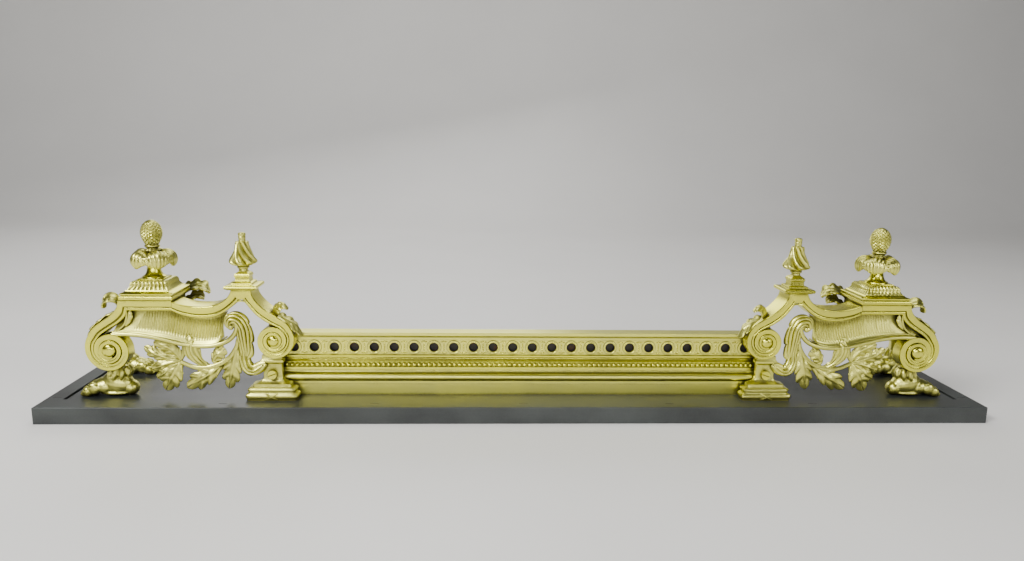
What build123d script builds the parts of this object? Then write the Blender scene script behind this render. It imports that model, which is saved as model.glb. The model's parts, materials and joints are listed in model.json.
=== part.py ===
from build123d import *
import os

# Cast brass fireplace fender on a black steel hearth kerb.
# Millimetres.  Every shape is drawn in the fender's own frame: X across the hearth,
# Y back from the kerb's front edge, Z up from the kerb's top face.  The end units are
# drawn once, on the +X side, and mirrored.  save() moves the result so that the origin
# is the middle of the footprint on the floor.

# ---- black steel kerb ----
base_width = 1400
base_depth = 205
kerb_height = 25
steel = 6                     # thickness of the kerb sections and of the hearth plate
front_strip = 35              # width of the flat top strip along the front
side_strip = 26               # width of the flat top strip along each side
slot_width = 6                # open slot between a side strip and the hearth plate
under_steel = 5               # thickness of the strips below the plate
edge_round = 1.2
kerb_screw_pitch = 219
kerb_screw_y = 17
corner_screw_y = 32
kerb_screw_head_r = 6.5
kerb_screw_shank_r = 2.5
kerb_screw_taper = 3.5        # depth of the countersunk head
driver_slot = 1.2             # width of the slots in the screw heads

# ---- pierced rail between the end units ----
rail_half = 384
band_face_y = 61              # front of the pierced band
band_back_y = 64
backing_y = 70                # front of the iron backing
backing_thickness = 4
rail_height = 98
torus_top_z = 39
bead_top_z = 61.5
band_top_z = 86
bead_rib_z = 46.8
bead_rib_r = 3.6
hole_count = 24
hole_pitch = 29.8
hole_r = 7.4
ring_r = 10.2
ring_height = 1.2

# ---- end units, front plane and depths ----
face_y = 33                   # polished front plane of the end units
body_back_y = 72              # back of the frieze body between plinth and cap
plinth_size = 74              # square plinth under the urn
plinth_x = 543
plinth_front_y = 30
band_z = 150                  # top of the polished band, under the plinth
split_x = 572                 # joint between frieze body and outer console
neck_x = 409                  # joint between frieze body and inner console
neck_top_z = 166
cap_size = 44
cap_front_y = 29
big_volute_x = 600
big_volute_z = 75
big_volute_r = 35
small_volute_x = 366
small_volute_z = 90
small_volute_r = 30
scroll_back_y = 52            # back of the scroll flanges, clear of the rail
rear_paw_x = 625.5            # middle of the rear paw
bracket_angle = 37            # how the rear leg's bracket turns in towards the body

# ---- pedestal ----
pedestal_x = 371
pedestal_back_y = 52
foot_half = 37
foot_front_y = 29
shaft_half = 14
shaft_front_y = 42
pedestal_top_z = 66
main_screw_z = 37
main_screw_r = 4
main_screw_head_r = 6.5
main_screw_head = 5.5
clearance = 0.2               # around the screws

# ---- urn and small finial ----
urn_y = plinth_front_y + plinth_size / 2
plinth_back_y = plinth_front_y + plinth_size
finial_x = neck_x
finial_y = cap_front_y + cap_size / 2
rod_r = 3
stud_r = 2

os.makedirs("parts", exist_ok=True)
to_floor = Pos(0, -base_depth / 2, kerb_height)
standing = (Align.CENTER, Align.CENTER, Align.MIN)


def save(node, shape):
    """Write one node in the floor frame."""
    export_step(to_floor * shape, f"parts/{node}.step")


def save_pair(node, shape):
    """Write the +X piece as right_NODE and its mirror image as left_NODE."""
    save(f"right_{node}", shape)
    save(f"left_{node}", mirror(shape, about=Plane.YZ))


def both_sides(shape):
    """The +X solids and their mirror images as one group."""
    twins = shape.solids() + mirror(shape, about=Plane.YZ).solids()
    return Compound(twins)


def block(x0, x1, y0, y1, z0, z1):
    return Pos(x0, y0, z0) * Box(x1 - x0, y1 - y0, z1 - z0, align=Align.MIN)


def plan(points, z0, z1):
    """A plate from its corners seen from above."""
    face = make_face(Polyline(points, close=True))
    return extrude(Pos(0, 0, z0) * face, amount=z1 - z0)


def front_plate(outline, y0, y1):
    """A plate from an outline seen from the front, between two depths."""
    face = Plane.XZ.offset(-y0) * make_face(outline)
    return extrude(face, amount=y1 - y0, dir=(0, 1, 0))


def moulding(outline, half_length):
    """A straight moulding along X from its section (Y, Z)."""
    return extrude(Plane.YZ * make_face(outline), amount=half_length, both=True)


def disc(x, z, r, y0, y1):
    """A cylinder along Y."""
    pin = Cylinder(r, y1 - y0, align=standing)
    return Pos(x, y1, z) * Rot(90, 0, 0) * pin


def post(x, y, r, z0, z1):
    """A cylinder along Z."""
    return Pos(x, y, z0) * Cylinder(r, z1 - z0, align=standing)


def turned(profile, x, y):
    """A turned piece from its half section (radius, height)."""
    return Pos(x, y, 0) * revolve(Plane.XZ * make_face(profile), Axis.Z)


def square_step(x, y, half0, half1, z0, z1):
    """A square frustum between two heights."""
    low = Pos(x, y, z0) * Rectangle(2 * half0, 2 * half0)
    high = Pos(x, y, z1) * Rectangle(2 * half1, 2 * half1)
    return loft([low, high])


# ------------------------------------------------------------------ kerb
inner_x = base_width / 2 - side_strip         # inner edge of a side strip
plate_x = inner_x - slot_width
back_y = base_depth - steel                   # front of the rear bar


def front_screw_places():
    middle = [(kerb_screw_pitch * i, kerb_screw_y) for i in (-2, -1, 0, 1, 2)]
    corner_x = inner_x + side_strip / 2
    return middle + [(-corner_x, corner_screw_y + 12), (corner_x, corner_screw_y + 12)]


def countersink(x, y):
    """The tapered head of a kerb screw, or the seat for it."""
    cone = Cone(kerb_screw_shank_r, kerb_screw_head_r, kerb_screw_taper, align=standing)
    return Pos(x, y, -kerb_screw_taper) * cone


def kerb_screw(x, y):
    slot = Pos(x, y, 0) * Box(2 * kerb_screw_head_r, driver_slot, 2)
    shank = post(x, y, kerb_screw_shank_r, -steel - under_steel, -kerb_screw_taper)
    return countersink(x, y) + shank - slot


def screw_cuts(places):
    cuts = [countersink(x, y) for x, y in places]
    cuts += [post(x, y, kerb_screw_shank_r, -kerb_height, -kerb_screw_taper) for x, y in places]
    return cuts


def make_kerb():
    half = base_width / 2
    cuts = screw_cuts(front_screw_places())
    strip = plan([(-half, 0), (half, 0), (inner_x, front_strip), (-inner_x, front_strip)], -steel, 0)
    skirt = plan([(-half, 0), (half, 0), (half - steel, steel), (steel - half, steel)], -kerb_height, -steel)
    front = strip + skirt
    lip = front.edges().filter_by(Axis.X).group_by(Axis.Y)[0].sort_by(Axis.Z)[-1]
    save("kerb_front", fillet(lip, edge_round) - cuts)

    strip = plan([(half, 0), (half, base_depth), (inner_x, base_depth), (inner_x, front_strip)], -steel, 0)
    skirt = plan([(half, 0), (half, base_depth), (half - steel, base_depth), (half - steel, steel)],
                 -kerb_height, -steel)
    side = strip + skirt
    lip = side.edges().filter_by(Axis.Y).group_by(Axis.X)[-1].sort_by(Axis.Z)[-1]
    side = fillet(lip, edge_round) - cuts
    save("kerb_right", side)
    save("kerb_left", mirror(side, about=Plane.YZ))
    save("kerb_rear", block(-inner_x, inner_x, back_y, base_depth, -kerb_height, 0))
    save("hearth_plate", block(-plate_x, plate_x, front_strip, back_y, -steel, 0))

    joint_half = 600
    under = -steel - under_steel
    save("joint_strip", block(-joint_half, joint_half, 8, 66, under, -steel) - cuts)
    gusset = block(joint_half + 4, base_width / 2 - steel, 8, 90, under, -steel) - cuts
    save("corner_gussets", both_sides(gusset))
    for name, x in (("left", -2 * kerb_screw_pitch), ("centre", 0), ("right", 2 * kerb_screw_pitch)):
        save(f"bearer_{name}", block(x - 4, x + 4, 66, back_y, -kerb_height, -steel))
    save("kerb_screws", Compound([kerb_screw(x, y).solid() for x, y in front_screw_places()]))


# ------------------------------------------------------------------ rail
def main_screw_hole(r):
    return disc(pedestal_x, main_screw_z, r, 0, base_depth)


def rail_cuts():
    hole = main_screw_hole(main_screw_r + clearance)
    return [hole, mirror(hole, about=Plane.YZ)]


def torus_moulding():
    line = Polyline((backing_y, torus_top_z), (backing_y, 0), (57, 0), (57, 18), (55.5, 18), (55.5, 22), (57, 22.5))
    line += ThreePointArc((57, 22.5), (52.5, 28), (57, 33.5))
    line += ThreePointArc((57, 33.5), (60.2, 35), (61, torus_top_z))
    line += Line((61, torus_top_z), (backing_y, torus_top_z))
    return moulding(line, rail_half) - rail_cuts()


def bead_moulding():
    low, high = bead_rib_z - bead_rib_r, bead_rib_z + bead_rib_r
    line = Polyline((backing_y, bead_top_z), (backing_y, torus_top_z), (58.5, torus_top_z), (58.5, low), (60, low))
    line += ThreePointArc((60, low), (60 - bead_rib_r, bead_rib_z), (60, high))
    line += ThreePointArc((60, high), (64, 54.5), (60, 58.5))
    line += Polyline((60, 58.5), (58, 58.5), (58, bead_top_z), (backing_y, bead_top_z))
    return moulding(line, rail_half) - rail_cuts()


def top_moulding():
    line = Polyline((60, band_top_z), (60, 88))
    line += ThreePointArc((60, 88), (58.2, 91.6), (54.5, 93.5))
    line += Polyline((54.5, 93.5), (53, 93.5), (53, rail_height - 1))
    line += ThreePointArc((53, rail_height - 1), (53.3, rail_height - 0.3), (54, rail_height))
    line += Polyline((54, rail_height), (76, rail_height), (76, band_top_z), (60, band_top_z))
    return moulding(line, rail_half)


def pierced_band():
    plate = block(-rail_half, rail_half, band_face_y, band_back_y, bead_top_z, band_top_z)
    centre_z = (bead_top_z + band_top_z) / 2
    xs = [hole_pitch * (i - (hole_count - 1) / 2) for i in range(hole_count)]
    rings = [disc(x, centre_z, ring_r, band_face_y - ring_height, band_face_y) for x in xs]
    holes = [disc(x, centre_z, hole_r, band_face_y - ring_height - 1, band_back_y + 1) for x in xs]
    return plate + rings - holes


def make_rail():
    save("rail_torus_moulding", torus_moulding())
    save("rail_bead_moulding", bead_moulding())
    save("rail_top_moulding", top_moulding())
    save("rail_pierced_band", pierced_band())
    back = backing_y + backing_thickness
    save("rail_backing", block(-rail_half, rail_half, backing_y, back, 0, band_top_z) - rail_cuts())
    upright = block(354, 388, back, back + steel, 0, 60)
    foot = block(354, 388, back, back + 34, 0, steel)
    bracket = upright + foot - main_screw_hole(main_screw_r)
    save("rail_brackets", both_sides(bracket))


# ------------------------------------------------------------------ end unit castings
def body_outline():
    """Frieze body between the inner and the outer console, seen from the front."""
    line = Polyline((neck_x, 148), (neck_x, neck_top_z), (422, neck_top_z))
    line += Spline([(422, neck_top_z), (430, 152), (446, 143), (470, 140), (495, 142.5), (508, band_z)],
                   tangents=[(0, -1), (1, 0.5)])
    line += Polyline((508, band_z), (split_x, band_z), (split_x, 96))
    line += Spline([(split_x, 96), (545, 94), (505, 84), (465, 79), (432, 87), (417, 108), (424, 122)],
                   tangents=[(-1, 0), (1, 0.2)])
    line += Spline([(424, 122), (434, 116), (437, 124), (424, 138), (neck_x, 148)],
                   tangents=[(1, -0.4), (-1, 0.4)])
    return line


def frieze_body():
    body = front_plate(body_outline(), face_y, body_back_y)
    rear = block(508, split_x, body_back_y, plinth_back_y, 100, band_z)
    panel = block(512, split_x - 8, face_y, face_y + 5, 104, 138)
    return body + rear - panel


def outer_console():
    line = Polyline((split_x, 96), (split_x, band_z), (584, band_z))
    shoulder = [(584, band_z), (588, 138), (602, 124), (624, 108), (big_volute_x + big_volute_r, big_volute_z)]
    line += Spline(shoulder, tangents=[(0, -1), (0, -1)])
    line += ThreePointArc((big_volute_x + big_volute_r, big_volute_z),
                          (big_volute_x, big_volute_z - big_volute_r),
                          (big_volute_x - big_volute_r, big_volute_z))
    line += Spline([(big_volute_x - big_volute_r, big_volute_z), (572, 90), (582, 95), (split_x, 96)],
                   tangents=[(0, 1), (-1, 0)])
    return front_plate(line, face_y, body_back_y)


def inner_console():
    left = small_volute_x - small_volute_r
    right = small_volute_x + small_volute_r
    line = Polyline((neck_x, 148), (neck_x, neck_top_z), (395, neck_top_z))
    line += Spline([(395, neck_top_z), (390, 148), (372, 131), (350, 118), (left, small_volute_z)],
                   tangents=[(0, -1), (0, -1)])
    line += ThreePointArc((left, small_volute_z), (small_volute_x, small_volute_z - small_volute_r),
                          (right, small_volute_z))
    line += Spline([(right, small_volute_z), (390, 106), (388, 116), (400, 132), (neck_x, 148)],
                   tangents=[(0, 1), (0.5, 1)])
    scroll = front_plate(line, face_y, scroll_back_y)
    above_rail = block(300, 420, scroll_back_y, body_back_y, 104, 170)
    rear = front_plate(line, scroll_back_y, body_back_y) & above_rail
    return scroll + rear


def paw_outline(heel, toe, ankle0, ankle1, top):
    """A lion's paw seen from the side: heel, arch, raised toes and the ankle above."""
    line = Polyline((heel, 3), (heel + 2, 0), (toe - 4, 0), (toe, 4))
    line += Spline([(toe, 4), (toe - 4, 17), (toe - 20, 24), (toe - 36, 23), (ankle1, 32), (ankle1, top)],
                   tangents=[(0.2, 1), (0, 1)])
    line += Line((ankle1, top), (ankle0, top))
    line += Spline([(ankle0, top), (ankle0, 30), (heel, 18), (heel, 3)], tangents=[(0, -1), (0, -1)])
    return line


def front_paw(console):
    paw = front_plate(paw_outline(576, 655, 584, 612, 46), 42, 76)
    return paw - console


def rear_leg(body):
    """Rear paw, toes inwards, with its scrolled bracket, which bolts to the back of the body."""
    paw = front_plate(paw_outline(-39.5, 39.5, -31.5, -5.5, 36), 146, 180)
    paw = Pos(rear_paw_x, 0, 0) * mirror(paw, about=Plane.YZ)
    line = Spline([(0, 36), (2, 56), (-18, 78), (-62, 92), (-92, 104)], tangents=[(0, 1), (-1, 0.5)])
    line += Line((-92, 104), (-92, 132))
    line += Spline([(-92, 132), (-50, 122), (0, 100), (24, 64), (24, 36)], tangents=[(1, 0), (0, -1)])
    line += Line((24, 36), (0, 36))
    plate = extrude(Plane.XZ * make_face(line), amount=9, both=True)
    bracket = Pos(rear_paw_x + 7, 157, 0) * Rot(0, 0, bracket_angle) * plate
    bracket -= block(400, 700, 0, plinth_back_y, 0, 200)
    bracket -= block(400, 700, 0, base_depth, -10, 36)
    return paw + bracket - body


# ------------------------------------------------------------------ plinth and urn
def plinth_slab():
    slab = square_step(plinth_x, urn_y, plinth_size / 2, plinth_size / 2, band_z, band_z + 5)
    slab += square_step(plinth_x, urn_y, plinth_size / 2 - 1, plinth_size / 2 - 6, band_z + 5, band_z + 9)
    slab += square_step(plinth_x, urn_y, plinth_size / 2 - 6, plinth_size / 2 - 9, band_z + 9, band_z + 13)
    return slab - post(plinth_x, urn_y, rod_r, 0, 300)


def plinth_block():
    """Square block with an ogee flank, fluted in the finished casting."""
    sections = [(28, 163), (26.5, 168), (25.5, 173), (23, 178), (19, 181)]
    shape = None
    for (half0, z0), (half1, z1) in zip(sections, sections[1:]):
        step = square_step(plinth_x, urn_y, half0, half1, z0, z1)
        shape = step if shape is None else shape + step
    return shape - post(plinth_x, urn_y, rod_r, 0, 300)


def plinth_cap():
    plate = square_step(plinth_x, urn_y, 17, 17, 181, 184)
    plate += square_step(plinth_x, urn_y, 15, 11.5, 184, 187)
    return plate - post(plinth_x, urn_y, rod_r, 0, 300)


def urn_socle():
    line = Polyline((rod_r, 187), (11, 187), (11, 188.5))
    line += ThreePointArc((11, 188.5), (8.6, 191), (8, 195))
    line += Polyline((8, 195), (9.5, 195), (9.5, 197), (rod_r, 197), (rod_r, 187))
    return turned(line, plinth_x, urn_y)


def leaf_cup():
    line = Polyline((rod_r, 197), (9.5, 197), (13, 201), (22, 203), (25, 194), (29, 191))
    line += ThreePointArc((29, 191), (33.5, 204), (26, 215))
    line += ThreePointArc((26, 215), (20, 218), (12, 219))
    line += Polyline((12, 219), (rod_r, 219), (rod_r, 197))
    return turned(line, plinth_x, urn_y)


def pinecone():
    line = Polyline((0, 220), (0, 219), (10.5, 219), (11.5, 221), (10, 223.5))
    line += Spline([(10, 223.5), (15.5, 238), (14, 251), (7, 259.5), (0, 262)], tangents=[(1, 1), (-1, 0)])
    line += Line((0, 262), (0, 220))
    return turned(line, plinth_x, urn_y) - post(plinth_x, urn_y, rod_r, 200, 236)


# ------------------------------------------------------------------ cap and swirl finial
def finial_cap():
    half = cap_size / 2
    cap = square_step(finial_x, finial_y, half - 7, half - 5, neck_top_z, neck_top_z + 3)
    cap += square_step(finial_x, finial_y, half - 2, half, neck_top_z + 3, neck_top_z + 6)
    cap += square_step(finial_x, finial_y, half, half - 3, neck_top_z + 6, neck_top_z + 9)
    cap += square_step(finial_x, finial_y, half - 5, half - 11, neck_top_z + 9, neck_top_z + 15)
    cap += square_step(finial_x, finial_y, 9.5, 7, neck_top_z + 15, neck_top_z + 25)
    return cap - post(finial_x, finial_y, stud_r, neck_top_z, 300)


def swirl_finial():
    base = neck_top_z + 25
    line = Polyline((stud_r, base), (6.5, base), (6.5, base + 2))
    line += ThreePointArc((6.5, base + 2), (5, base + 4.5), (6, base + 7))
    line += Polyline((6, base + 7), (8, base + 9), (14, base + 11))
    line += Spline([(14, base + 11), (19, base + 14), (15.5, base + 24), (9.5, base + 36), (5, base + 42)],
                   tangents=[(1, 0), (-1, 0.4)])
    line += Polyline((5, base + 42), (2.6, base + 44), (2.6, base + 49), (3.6, base + 51), (3.6, base + 55),
                     (0, base + 56), (0, base + 40), (stud_r, base + 40), (stud_r, base))
    return turned(line, finial_x, finial_y)


# ------------------------------------------------------------------ leaves
def leaf_lobe(x, z, length, width, angle, y0, y1):
    """One pointed leaf lobe in the front plane, from its root along an angle above +X."""
    line = Spline([(0, -0.2 * width), (0.45 * length, -0.5 * width), (length, 0)], tangents=[(1, -0.6), (1, 0.5)])
    line += Spline([(length, 0), (0.45 * length, 0.5 * width), (0, 0.2 * width)], tangents=[(-1, 0.5), (-1, -0.6)])
    line += Line((0, 0.2 * width), (0, -0.2 * width))
    face = Plane.XZ.offset(-y0) * (Pos(x, z) * Rot(0, 0, angle) * make_face(line))
    return extrude(face, amount=y1 - y0, dir=(0, 1, 0))


def foliage_spray(body):
    spray = leaf_lobe(470, 56, 46, 9, 12, 40, 50)
    for x, z, length, width, angle in (
            (498, 62, 50, 18, 22), (503, 62, 38, 17, -18), (505, 62, 46, 22, -68),
            (470, 58, 44, 20, -62), (424, 80, 54, 20, -78), (430, 80, 46, 12, -34)):
        spray += leaf_lobe(x, z, length, width, angle, 40, 50)
    stem = Polyline((470, 52), (500, 58), (494, 86), (484, 86), (486, 66), (468, 60), close=True)
    spray += front_plate(stem, 40, 50)
    return (spray - body).solids().sort_by(SortBy.VOLUME)[-1]


def window_leaf(body, console, support):
    line = Spline([(426, 121), (413, 129), (400, 118), (395, 94), (396, 72), (384, 54), (398, 44), (414, 54),
                   (415, 80), (409, 104)])
    line += Line((409, 104), (426, 121))
    leaf = front_plate(line, 36, 50) - body - console - support
    return leaf.solids().sort_by(SortBy.VOLUME)[-1]


def console_leaf(console):
    line = Spline([(386, 148), (374, 144), (364, 152), (356, 156), (351, 152), (357, 147), (360, 138), (346, 134),
                   (332, 122), (330, 112), (340, 112)], tangents=[(-1, -0.4), (0.6, 1)])
    line += Line((340, 112), (386, 148))
    leaf = front_plate(line, 38, scroll_back_y) - console
    return leaf.solids().sort_by(SortBy.VOLUME)[-1]


def outer_leaf(console):
    line = Spline([(584, 136), (589, 150), (597, 161), (608, 155), (603, 145), (607, 132), (620, 118)])
    line += Line((620, 118), (584, 136))
    leaf = front_plate(line, 44, 62) - console
    return leaf.solids().sort_by(SortBy.VOLUME)[-1]


def rear_leaf():
    """Leaf that rolls inward from the back of the plinth over the sagging band."""
    line = Spline([(520, 128), (512, 148), (496, 154), (480, 155), (476, 146), (486, 144), (492, 138), (502, 124)],
                  tangents=[(0, 1), (0.4, -1)])
    line += Line((502, 124), (520, 128))
    return front_plate(line, plinth_back_y, plinth_back_y + 16)


# ------------------------------------------------------------------ pedestal
def pedestal(console):
    line = Polyline((0, 0), (foot_half, 0), (foot_half, 3))
    line += ThreePointArc((foot_half, 3), (foot_half + 1.4, 6), (foot_half, 9))
    line += Polyline((foot_half, 9), (foot_half - 3, 11), (foot_half - 3, 13))
    line += ThreePointArc((foot_half - 3, 13), (foot_half - 1.6, 15.5), (foot_half - 3, 18))
    line += Polyline((foot_half - 3, 18), (foot_half - 9, 20), (foot_half - 9, 24))
    line += ThreePointArc((foot_half - 9, 24), (foot_half - 17, 25.5), (shaft_half, 30))
    line += Polyline((shaft_half, 30), (shaft_half, 54), (shaft_half + 3, 56), (shaft_half + 3, 59))
    line += Polyline((shaft_half + 3, 59), (shaft_half + 1, 61), (shaft_half + 1, pedestal_top_z), (0, pedestal_top_z),
                     (0, 0))
    half = front_plate(line, foot_front_y, pedestal_back_y)
    front = Pos(pedestal_x, 0, 0) * (half + mirror(half, about=Plane.YZ))
    side = Polyline((pedestal_back_y, 0), (foot_front_y, 0), (foot_front_y, 10), (foot_front_y + 3, 12),
                    (foot_front_y + 3, 18), (foot_front_y + 7, 24))
    side += ThreePointArc((foot_front_y + 7, 24), (foot_front_y + 10, 25.5), (shaft_front_y, 30))
    side += Polyline((shaft_front_y, 30), (shaft_front_y, 54), (38, 56), (38, pedestal_top_z),
                     (pedestal_back_y, pedestal_top_z), (pedestal_back_y, 0))
    depth = extrude(Plane.YZ * make_face(side), amount=foot_half + 3, both=True)
    shape = front & (Pos(pedestal_x, 0, 0) * depth)
    return shape - console - main_screw_hole(main_screw_r + clearance)


def pedestal_screw():
    head = disc(pedestal_x, main_screw_z, main_screw_head_r, shaft_front_y - main_screw_head, shaft_front_y)
    slot = Pos(pedestal_x, shaft_front_y - main_screw_head, main_screw_z) * Rot(0, 18, 0) * Box(20, 3, 1.8)
    shank = disc(pedestal_x, main_screw_z, main_screw_r, shaft_front_y, backing_y + backing_thickness + steel)
    return head - slot + shank


def make_end_units():
    console = outer_console()
    body = frieze_body()
    inner = inner_console()
    support = pedestal(inner)
    save_pair("outer_console", console)
    save_pair("frieze_body", body - post(plinth_x, urn_y, rod_r, 130, 200))
    save_pair("inner_console", inner)
    save_pair("front_paw", front_paw(console))
    save_pair("rear_leg", rear_leg(body))
    save_pair("plinth_slab", plinth_slab())
    save_pair("plinth_block", plinth_block())
    save_pair("plinth_cap", plinth_cap())
    save_pair("urn_socle", urn_socle())
    save_pair("leaf_cup", leaf_cup())
    save_pair("pinecone", pinecone())
    save_pair("finial_cap", finial_cap())
    save_pair("swirl_finial", swirl_finial())
    save_pair("foliage_spray", foliage_spray(body))
    save_pair("window_leaf", window_leaf(body, inner, support))
    save_pair("console_leaf", console_leaf(inner))
    save_pair("outer_leaf", outer_leaf(console))
    save_pair("rear_leaf", rear_leaf())
    save_pair("pedestal", support)
    save("pedestal_screws", both_sides(pedestal_screw()))
    save("urn_tie_rods", both_sides(post(plinth_x, urn_y, rod_r, 130, 236)))
    save("finial_studs", both_sides(post(finial_x, finial_y, stud_r, neck_top_z, neck_top_z + 65)))


make_kerb()
make_rail()
make_end_units()
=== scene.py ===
"""Finished model of a cast brass fireplace fender that stands on a black steel hearth kerb."""
import json
import logging
import math
from dataclasses import dataclass
from enum import Enum
from typing import Callable, Optional, Sequence

import bpy
from mathutils import Matrix, Vector


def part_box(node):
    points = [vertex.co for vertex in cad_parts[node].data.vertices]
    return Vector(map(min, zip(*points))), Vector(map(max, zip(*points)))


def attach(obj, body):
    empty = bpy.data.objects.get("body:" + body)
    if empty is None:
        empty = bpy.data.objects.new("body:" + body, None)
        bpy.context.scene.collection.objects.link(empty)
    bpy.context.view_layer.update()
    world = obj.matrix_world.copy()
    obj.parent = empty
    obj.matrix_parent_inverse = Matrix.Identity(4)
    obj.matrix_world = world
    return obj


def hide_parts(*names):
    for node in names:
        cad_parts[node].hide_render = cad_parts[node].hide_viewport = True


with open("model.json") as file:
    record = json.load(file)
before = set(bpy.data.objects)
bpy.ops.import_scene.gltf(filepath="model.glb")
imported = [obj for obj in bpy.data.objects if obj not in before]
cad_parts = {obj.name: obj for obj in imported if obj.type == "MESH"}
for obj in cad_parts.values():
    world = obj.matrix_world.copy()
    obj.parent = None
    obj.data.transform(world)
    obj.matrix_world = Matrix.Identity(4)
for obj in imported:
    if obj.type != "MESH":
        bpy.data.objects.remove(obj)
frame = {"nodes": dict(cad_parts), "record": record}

log = logging.getLogger("fender")
MM = 0.001
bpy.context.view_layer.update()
TURN = 2 * math.pi
Piece = bpy.types.Object
Flat = tuple[float, float]
Point = tuple[float, float, float]
Place = Callable[[float, float], Vector]


# ---------------------------------------------------------------- places
@dataclass(frozen=True)
class FenderSpace:
    """Millimetres across the hearth, back from the kerb's front edge and up from its top face."""

    front: float
    deck: float

    def at(self, x: float, y: float, z: float) -> Vector:
        """The place in metres in the shared frame."""
        return Vector((x * MM, self.front + y * MM, self.deck + z * MM))


SPACE = FenderSpace(front=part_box("kerb_front")[0].y, deck=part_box("hearth_plate")[1].z)


class Side(Enum):
    """The two ends of the fender."""

    RIGHT = 1
    LEFT = -1

    @property
    def word(self) -> str:
        """The prefix of the side's node names."""
        return self.name.lower()


def mix(a: float, b: float, t: float) -> float:
    """The value a fraction t of the way from a to b."""
    return a + (b - a) * t


def ease(t: float) -> float:
    """A smooth step from 0 to 1."""
    t = min(1.0, max(0.0, t))
    return t * t * (3 - 2 * t)


def smooth_path(points: Sequence[Sequence[float]], steps: int) -> list[tuple[float, ...]]:
    """Samples a smooth curve through given points.

    Args:
        points: the points that the curve passes through, of any dimension.
        steps: the number of spans in the result, spread evenly over the points.

    Returns:
        steps + 1 points along the curve.
    """
    first = [2 * a - b for a, b in zip(points[0], points[1])]
    last = [2 * a - b for a, b in zip(points[-1], points[-2])]
    knots = [first, *points, last]
    spans = len(points) - 1
    path = []
    for i in range(steps + 1):
        k = min(int(spans * i / steps), spans - 1)
        t = spans * i / steps - k
        p0, p1, p2, p3 = knots[k:k + 4]
        path.append(tuple(
            0.5 * (2 * b + (c - a) * t + (2 * a - 5 * b + 4 * c - d) * t * t
                   + (3 * b - a - 3 * c + d) * t ** 3)
            for a, b, c, d in zip(p0, p1, p2, p3)))
    return path


def along(path: Sequence[tuple[float, ...]], t: float) -> tuple[float, ...]:
    """The point a fraction t of the way along a sampled path."""
    s = min(max(t, 0.0), 1.0) * (len(path) - 1)
    k = min(int(s), len(path) - 2)
    return tuple(mix(a, b, s - k) for a, b in zip(path[k], path[k + 1]))


# ---------------------------------------------------------------- modelling steps
def deselect() -> None:
    """Leaves object mode with nothing selected."""
    if bpy.context.mode != "OBJECT":
        bpy.ops.object.mode_set(mode="OBJECT")
    bpy.ops.object.select_all(action="DESELECT")


def pick(obj: Piece) -> Piece:
    """Makes one object the only selected and active one."""
    deselect()
    obj.select_set(True)
    bpy.context.view_layer.objects.active = obj
    return obj


def apply_modifier(obj: Piece, kind: str, **settings: object) -> None:
    """Adds a modifier with these settings and applies it."""
    pick(obj)
    modifier = obj.modifiers.new(kind.lower(), kind)
    for key, value in settings.items():
        setattr(modifier, key, value)
    bpy.ops.object.modifier_apply(modifier=modifier.name)


def edit_all(obj: Piece, *steps: Callable[[], object]) -> None:
    """Runs edit-mode steps on the whole mesh, each with everything selected."""
    pick(obj)
    bpy.ops.object.mode_set(mode="EDIT")
    for step in steps:
        bpy.ops.mesh.select_all(action="SELECT")
        step()
    bpy.ops.object.mode_set(mode="OBJECT")


def tidy_normals(obj: Piece) -> None:
    """Merges doubles and turns every face outwards."""
    edit_all(obj,
             lambda: bpy.ops.mesh.remove_doubles(threshold=0.00001),
             lambda: bpy.ops.mesh.normals_make_consistent(inside=False))


def smooth_shade(obj: Piece, angle: float = 35) -> Piece:
    """Shades smooth across edges flatter than the angle in degrees."""
    pick(obj)
    bpy.ops.object.shade_smooth_by_angle(angle=math.radians(angle))
    return obj


def grid_sheet(name: str, across: int, length: int, place: Place) -> Piece:
    """A grid primitive whose points are moved onto a formed surface.

    Args:
        name: the piece's name.
        across: number of squares in the first direction.
        length: number of squares in the second direction.
        place: gives the place in metres from two fractions between 0 and 1.

    Returns:
        The new object, an open sheet.
    """
    deselect()
    bpy.ops.mesh.primitive_grid_add(x_subdivisions=across, y_subdivisions=length, size=2)
    obj = bpy.context.object
    obj.name = name
    for vertex in obj.data.vertices:
        vertex.co = place((vertex.co.x + 1) / 2, (vertex.co.y + 1) / 2)
    return obj


def closed_sheet(name: str, around: int, length: int, place: Place) -> Piece:
    """A sheet that closes on itself in its first direction, with both ends filled."""
    obj = grid_sheet(name, around, length, place)
    edit_all(obj, lambda: bpy.ops.mesh.remove_doubles(threshold=0.000002))
    pick(obj)
    bpy.ops.object.mode_set(mode="EDIT")
    bpy.ops.mesh.select_all(action="DESELECT")
    bpy.ops.mesh.select_non_manifold(extend=False)
    bpy.ops.mesh.fill_holes(sides=0)
    bpy.ops.object.mode_set(mode="OBJECT")
    tidy_normals(obj)
    return obj


def outline_plate(name: str, outline: Sequence[Flat], y0: float, y1: float, bevel: float = 0.6) -> Piece:
    """A plate from an outline seen from the front, pushed back from y0 to y1 and bevelled."""
    deselect()
    bpy.ops.mesh.primitive_circle_add(vertices=len(outline), radius=1, fill_type="NGON")
    obj = bpy.context.object
    obj.name = name
    for vertex, (x, z) in zip(obj.data.vertices, outline):
        vertex.co = SPACE.at(x, y0, z)
    edit_all(obj, lambda: bpy.ops.mesh.extrude_region_move(
        TRANSFORM_OT_translate={"value": (0, (y1 - y0) * MM, 0)}))
    tidy_normals(obj)
    apply_modifier(obj, "BEVEL", width=bevel * MM, segments=2, limit_method="ANGLE",
                   angle_limit=math.radians(40))
    return obj


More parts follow.
